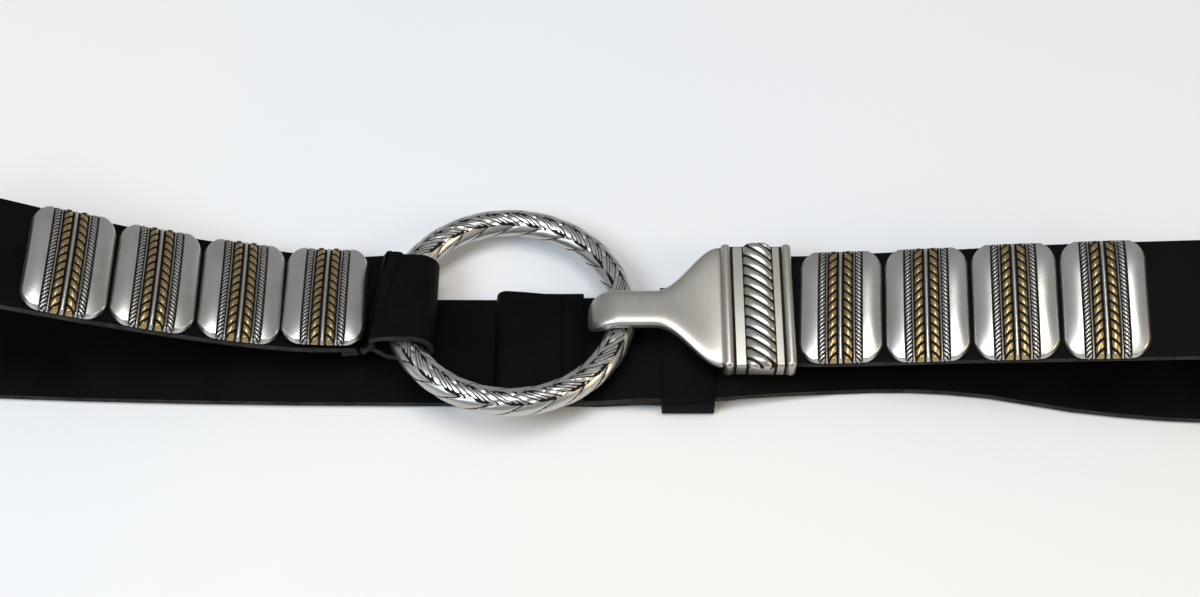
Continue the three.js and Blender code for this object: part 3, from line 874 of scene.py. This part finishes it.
@dataclass
class HookBuckle:
    """Hook, flared plate and the sleeve that holds the strap's end, with its ribs and cable."""

    datum: Datum
    tube_out: float = 4.35
    ring_radius: float = 36.3
    ring_drop: float = 1.647
    thick: float = 4.2
    width: float = 13.0
    hollow: float = 5.9
    tip_angle: float = 193.0
    side: float = -3.3
    tilt: float = -2.0
    play: float = 0.65
    set_back: float = 1.2
    neck_end: float = 46.7
    sleeve_start: float = 68.0
    sleeve_length: float = 23.2
    sleeve_top: float = 2.6
    sleeve_floor: float = 1.6
    sleeve_wall: float = 1.5
    sleeve_back: float = 3.6
    sleeve_drop: float = 2.0
    buckle_side: float = -1.5
    buckle_tilt: float = 4.0
    strap_width: float = 40.0
    strap_half: float = 1.15
    clear: float = 0.3
    grooves: int = 12
    groove_slant: float = 0.72
    cable_start: float = 0.34
    cable_end: float = 0.705
    cable_rise: float = 2.35
    rib_rise: float = 1.1
    rib_proud: float = 0.5
    rib_edge: float = 1.45
    curl_shares: tuple[float, ...] = (0, 0.02, 0.06, 0.2, 0.38, 0.6, 1)
    curl_widths: tuple[float, ...] = (0.1, 0.28, 0.44, 0.68, 0.88, 1, 1)
    curl_thicks: tuple[float, ...] = (0.2, 0.6, 0.85, 1, 1, 1, 1)
    root_steps: tuple[tuple[float, float], ...] = ((0.35, 0.25), (0.7, 0.8), (1.0, 1.6), (3.0, 1.8))
    # Places of the painted shade lines beside the ribs and the cable, as shares of the sleeve.
    dark_lines: tuple[float, ...] = (0.0, 0.16, 0.33, 0.715, 0.85)

    def __post_init__(self) -> None:
        """Works out the heights that follow from the ring."""
        right = self.datum.ring_rise - self.ring_drop
        self.rise = right + self.tube_out + self.play - self.hollow
        self.arc = self.hollow + self.thick / 2
        self.neck_mid = self.rise + self.arc
        roof = self.neck_mid + self.thick / 2 - self.sleeve_drop
        self.lip = roof + 0.4 - self.thick / 2
        self.mid = roof - self.sleeve_top - self.clear - self.strap_half
        self.outer = self.strap_width / 2 + self.clear + self.sleeve_wall

    def section(
        self, middle: Grid, out: Grid, half: float, thick: float, tilt: float, angles: Grid
    ) -> Grid:
        """One section of the hook: flat on top, rounded down at both edges.

        Args:
            middle: Its middle.
            out: Direction away from the hook's hollow.
            half: Half its width.
            thick: Its thickness.
            tilt: Its tilt across, in degrees.
            angles: Angles round the section.

        Returns:
            Places round the section.
        """
        lean = math.radians(tilt)
        across = np.array([0, math.cos(lean), math.sin(lean)])
        up = out - across * (out @ across)
        up /= np.linalg.norm(up)
        c, s = np.cos(angles), np.sin(angles)
        power = 0.5 if half > thick / 2 else 0.8
        y = half * np.sign(c) * abs(c) ** power
        z = thick / 2 * np.sign(s) * abs(s) ** np.where(s > 0, 0.55, 0.35)
        return middle + np.outer(y, across) + np.outer(z, up)

    def sections(self, angles: Grid) -> list[Grid]:
        """All sections, from the tip of the hook to the root in the sleeve.

        Args:
            angles: Angles round each section.

        Returns:
            The places round each section.
        """
        found = []
        half = self.width / 2
        start = self.ring_radius - self.set_back
        for share in np.linspace(0, 1, 34):
            angle = math.radians(self.tip_angle + (90 - self.tip_angle) * share)
            out = np.array([math.cos(angle), 0, math.sin(angle)])
            middle = np.array([start, self.side, self.rise]) + out * self.arc
            wide = half * np.interp(share, self.curl_shares, self.curl_widths)
            thick = self.thick * np.interp(share, self.curl_shares, self.curl_thicks)
            found.append(self.section(middle, out, wide, thick, self.tilt, angles))
        up = np.array([0.0, 0.0, 1.0])
        for share in np.linspace(0.25, 0.9, 4):
            middle = np.array([start + (self.neck_end - start) * share, self.side, self.neck_mid])
            found.append(self.section(middle, up, half, self.thick, self.tilt, angles))
        wide = self.outer - 0.3
        for share in np.linspace(0, 1, 40):
            soft = ease(share)
            middle = np.array(
                [
                    self.neck_end + (self.sleeve_start - 0.2 - self.neck_end) * share,
                    self.side + (self.buckle_side - self.side) * soft,
                    self.neck_mid + (self.lip - self.neck_mid) * soft,
                ]
            )
            tilt = self.tilt + (self.buckle_tilt - self.tilt) * soft
            spread = half + (wide - half) * soft**1.05
            found.append(self.section(middle, up, spread, self.thick, tilt, angles))
        for past, less in self.root_steps:
            middle = np.array([self.sleeve_start - 0.2 + past, self.buckle_side, self.lip])
            thick = self.thick - 2 * less * 0.7
            found.append(self.section(middle, up, wide - less, thick, self.buckle_tilt, angles))
        return found

    def plate(self) -> bpy.types.Object:
        """Models the hook and its flared plate from a grid wrapped round its sections.

        Returns:
            The piece.
        """
        count = 52
        angles = np.linspace(0, 2 * math.pi, count + 1)
        rings = self.sections(angles)
        piece, along, around = Bench.grid("hook_plate", len(rings) - 1, count)
        i = np.rint(along * (len(rings) - 1)).astype(int)
        j = np.rint(around * count).astype(int)
        Bench.move(piece, self.datum.metres(np.array(rings)[i, j]))
        Bench.store(piece, "groove_and_shade", np.zeros(len(i)))
        Bench.tidy(piece, close=True)
        Bench.smooth(piece, 60)
        Bench.dress(piece, Slot.PEWTER, PewterFinish(name="hook_pewter", grain=Axis.ALONG).build())
        return piece

    def stand(self, piece: bpy.types.Object) -> None:
        """Turns a piece made about the strap's middle to the buckle's tilt and sets it in place."""
        place = self.datum.metres(np.array([0, self.buckle_side, self.mid]))
        turn = Matrix.Rotation(math.radians(self.buckle_tilt), 4, "X")
        piece.data.transform(Matrix.Translation(Vector(place)) @ turn)
        piece.data.update()

    def hollow_out(self, piece: bpy.types.Object) -> None:
        """Cuts the strap's pocket through a piece of the sleeve."""
        wide = self.strap_width + 2 * self.clear
        deep = 2 * (self.strap_half + self.clear)
        middle = self.sleeve_start + self.sleeve_back + self.sleeve_length / 2
        size = (self.sleeve_length * MM, wide * MM, deep * MM)
        cutter = Bench.block("pocket", size, (middle * MM, 0, 0))
        Bench.modify(piece, "BOOLEAN", object=cutter, operation="DIFFERENCE", solver="EXACT")
        bpy.data.objects.remove(cutter)

    def bar(
        self, name: str, start: float, end: float, rise: float, half: float, edge: float
    ) -> bpy.types.Object:
        """Models a straight bar over the sleeve, with rounded edges and ends.

        Args:
            name: The piece's name.
            start: Its start as a share of the sleeve.
            end: Its end as a share of the sleeve.
            rise: How far it stands over the sleeve's top.
            half: Half its length across the belt.
            edge: Radius of its edges.

        Returns:
            The piece.
        """
        top = self.strap_half + self.clear + self.sleeve_top + rise
        bottom = -self.strap_half - self.clear - self.sleeve_floor
        x0 = self.sleeve_start + start * self.sleeve_length
        x1 = self.sleeve_start + end * self.sleeve_length
        size = ((x1 - x0) * MM, 2 * half * MM, (top - bottom) * MM)
        piece = Bench.block(name, size, ((x0 + x1) / 2 * MM, 0, (top + bottom) / 2 * MM))
        Bench.modify(piece, "BEVEL", width=edge * MM, segments=6, limit_method="ANGLE")
        self.hollow_out(piece)
        self.stand(piece)
        Bench.smooth(piece, 35)
        return piece

    def cable(self) -> bpy.types.Object:
        """Models the cable: a round-backed bar with slanting twisted strands.

        Returns:
            The piece.
        """
        x0 = self.sleeve_start + self.cable_start * self.sleeve_length
        x1 = self.sleeve_start + self.cable_end * self.sleeve_length
        half = self.outer + self.rib_proud
        base = self.strap_half + self.clear + self.sleeve_top - 0.6
        piece, along, across = Bench.grid("cable_bar", 300, 56)
        y = (along * 2 - 1) * half
        arc = (across * 2 - 1) * math.pi / 2
        end = np.clip((half - abs(y)) / 2.4, 0, 1)
        round_end = np.sqrt(1 - (1 - end) ** 2)
        radius = (x1 - x0) / 2
        x = np.sin(arc) * radius * (0.5 + 0.5 * round_end)
        z = np.cos(arc) ** 0.7 * self.cable_rise * (0.25 + 0.75 * round_end)
        phase = (y + np.sin(arc) * radius * self.groove_slant) * self.grooves / (2 * half)
        strand = 2 * abs(phase - np.floor(phase) - 0.5)
        cut = step(0.4, 0.7, strand)
        fine = 0.5 + 0.5 * np.cos(phase * 2 * math.pi * 3)
        scale = 1 - 0.3 * cut - 0.04 * fine
        z = z * scale
        points = np.stack([(x0 + x1) / 2 + x, y, base + z], axis=1) * MM
        Bench.move(piece, points)
        Bench.store(piece, "groove_and_shade", np.maximum(cut * 1.2, (1 - fine) * 0.34 * (1 - cut)))
        Bench.modify(piece, "SOLIDIFY", thickness=0.5 * MM, offset=-1)
        Bench.tidy(piece)
        self.stand(piece)
        Bench.smooth(piece, 50)
        return piece

    def build(self) -> None:
        """Models and dresses the whole buckle."""
        pieces = [self.plate()]
        # X places of the painted shade lines on the sleeve.
        places = [self.sleeve_start + share * self.sleeve_length for share in self.dark_lines]
        lines = tuple(place * MM + self.datum.origin.x for place in places)
        satin = PewterFinish(name="sleeve_pewter", edges=lines).build()
        plain = PewterFinish(name="rib_pewter", rough=0.24).build()
        sleeve = self.bar("sleeve", 0, 0.98, 0, self.outer, 0.9)
        half = self.outer + self.rib_proud
        ribs = [
            self.bar("rib_front", 0.01, 0.15, self.rib_rise, half, self.rib_edge),
            self.bar("rib_back", 0.86, 1, self.rib_rise, half, self.rib_edge),
        ]
        cable = self.cable()
        Bench.dress(sleeve, Slot.PEWTER, satin)
        Bench.dress(cable, Slot.PEWTER, PewterFinish(name="cable_pewter", rough=0.2).build())
        for rib in ribs:
            Bench.dress(rib, Slot.PEWTER, plain)
        pieces += [sleeve, *ribs, cable]
        for piece in pieces:
            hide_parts("hook_buckle")


# Leather


@dataclass
class LeatherPiece:
    """A strap or keeper: the CAD solid's shape with burnished edges."""

    node: str
    name: str
    edge_radius: float = 0.32
    side_limit: float = 0.5

    def build(
        self,
        nodes: dict[str, bpy.types.Object],
        face: bpy.types.Material,
        cut: bpy.types.Material,
    ) -> bpy.types.Object:
        """Models the piece from a merged copy of its solid.

        Args:
            nodes: The frame's nodes.
            face: Finish of the leather's faces.
            cut: Finish of its cut edges.

        Returns:
            The piece.
        """
        source = nodes[self.node]
        piece = source.copy()
        piece.data = source.data.copy()
        piece.name = piece.data.name = self.name
        piece.parent = None
        bpy.context.scene.collection.objects.link(piece)
        Bench.tidy(piece)
        Bench.modify(
            piece,
            "BEVEL",
            width=self.edge_radius * MM,
            segments=3,
            limit_method="ANGLE",
            angle_limit=math.radians(32),
        )
        Bench.smooth(piece, 50)
        Bench.dress(piece, Slot.LEATHER, face, cut)
        for polygon in piece.data.polygons:
            polygon.material_index = int(abs(polygon.normal.y) > self.side_limit)
        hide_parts(self.node)
        return piece


@dataclass
class StitchLine:
    """A row of stitches across a strap."""

    datum: Datum
    name: str
    place: float
    near: float
    far: float
    count: int
    length: float = 2.5
    thread: float = 0.42
    turn: float = 7.0
    above: float = 80.0

    def build(self, leather: bpy.types.Object, finish: bpy.types.Material) -> None:
        """Lays the stitches on the leather below them.

        Args:
            leather: The strap they are sewn in.
            finish: The thread's finish.
        """
        made = []
        for index in range(self.count):
            share = (index + 0.5) / self.count
            y = self.near + (self.far - self.near) * share
            start = self.datum.metres(np.array([self.place, y, self.above]))
            hit, spot, _, _ = leather.ray_cast(Vector(start), Vector((0, 0, -1)))
            if not hit:
                continue
            bpy.ops.object.select_all(action="DESELECT")
            bpy.ops.mesh.primitive_uv_sphere_add(
                segments=10, ring_count=8, radius=self.thread * MM, location=spot
            )
            stitch = Bench.added(f"{self.name}_{index}")
            stitch.scale = (1, self.length / 2 / self.thread, 0.9)
            stitch.rotation_euler = (0, 0, math.radians(self.turn))
            Bench.settle(stitch)
            made.append(stitch)
        bpy.ops.object.select_all(action="DESELECT")
        for stitch in made:
            stitch.select_set(True)
        bpy.context.view_layer.objects.active = made[0]
        bpy.ops.object.join()
        piece = Bench.added(self.name)
        Bench.settle(piece)
        Bench.smooth(piece, 60)
        Bench.dress(piece, Slot.LEATHER, finish)


# Studio


@dataclass
class Studio:
    """Floor, lights and camera."""

    datum: Datum
    distance: float = 600.0
    elevation: float = 58.0
    lens: float = 54.0
    aim: tuple[float, float] = (29.0, 11.85)

    def light(
        self,
        name: str,
        place: tuple[float, float, float],
        size: tuple[float, float],
        power: float,
        colour: tuple[float, float, float],
    ) -> None:
        """Adds one soft light that faces the belt.

        Args:
            name: The light's name.
            place: Its place in metres.
            size: Its width and height in metres.
            power: Its power in watts.
            colour: Its colour.
        """
        data = bpy.data.lights.new(name, "AREA")
        data.shape = "RECTANGLE"
        data.size, data.size_y = size
        data.energy = power
        data.color = colour
        lamp = bpy.data.objects.new(name, data)
        lamp.location = place
        lamp.rotation_euler = (-Vector(place)).to_track_quat("-Z", "Y").to_euler()
        bpy.context.scene.collection.objects.link(lamp)

    def build(self) -> None:
        """Sets up floor, lights, world and camera."""
        bpy.ops.object.select_all(action="DESELECT")
        bpy.ops.mesh.primitive_plane_add(size=6)
        floor = Bench.added("floor")
        floor.data.materials.append(PaperFinish().build())
        self.light("window", (-0.6, -0.45, 0.95), (0.5, 0.5), 8.5, (0.76, 0.88, 1.0))
        self.light("lamp", (0.8, -0.3, 0.5), (0.22, 0.4), 2.6, (1.0, 0.77, 0.42))
        self.light("ceiling", (0.05, -0.05, 1.5), (0.8, 0.5), 10.0, (1.0, 0.985, 0.96))
        world = bpy.data.worlds.new("studio")
        world.use_nodes = True
        backdrop = world.node_tree.nodes["Background"]
        backdrop.inputs["Color"].default_value = (0.97, 0.98, 1.0, 1)
        backdrop.inputs["Strength"].default_value = 0.36
        bpy.context.scene.world = world
        bpy.context.scene.view_settings.view_transform = "Standard"
        self.camera()

    def camera(self) -> None:
        """Sets the camera at the photograph's viewing angle."""
        data = bpy.data.cameras.new("camera")
        data.lens = self.lens
        data.sensor_width = 36.0
        data.clip_start = 0.05
        view = bpy.data.objects.new("camera", data)
        aim = self.datum.metres(np.array([self.aim[0], self.aim[1], 0]))
        lean = math.radians(self.elevation)
        back = np.array([0, -math.cos(lean), math.sin(lean)]) * self.distance * MM
        view.location = Vector(aim + back)
        view.rotation_euler = (math.pi / 2 - lean, 0, 0)
        bpy.context.scene.collection.objects.link(view)
        bpy.context.scene.camera = view


def main() -> None:
    """Builds the belt's looks piece by piece."""
    logging.basicConfig(level=logging.INFO, format="%(name)s %(message)s")
    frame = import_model()
    nodes = frame["nodes"]
    datum = Datum.read()
    Studio(datum).build()

    face = LeatherFinish().build()
    cut = CutEdgeFinish().build()
    left = LeatherPiece("left_strap", "strap_left").build(nodes, face, cut)
    right = LeatherPiece("right_strap", "strap_right").build(nodes, face, cut)
    LeatherPiece("keeper", "keeper_band", edge_radius=0.5, side_limit=2.0).build(nodes, face, cut)
    thread = ThreadFinish().build()
    StitchLine(datum, "flap_stitches", 16.8, -27.5, 9.5, 12).build(right, thread)
    StitchLine(datum, "seam_stitches", -44.2, -14.5, 18.5, 11).build(left, thread)

    BraidedRing(datum).build()
    HookBuckle(datum).build()
    template = Medallion().template()
    silver = CastSilverFinish(name="medallion_silver").build()
    for side in ("left", "right"):
        MedallionRow(side, template, silver).build(nodes)
    bpy.data.objects.remove(template)


if __name__ == "__main__":
    main()
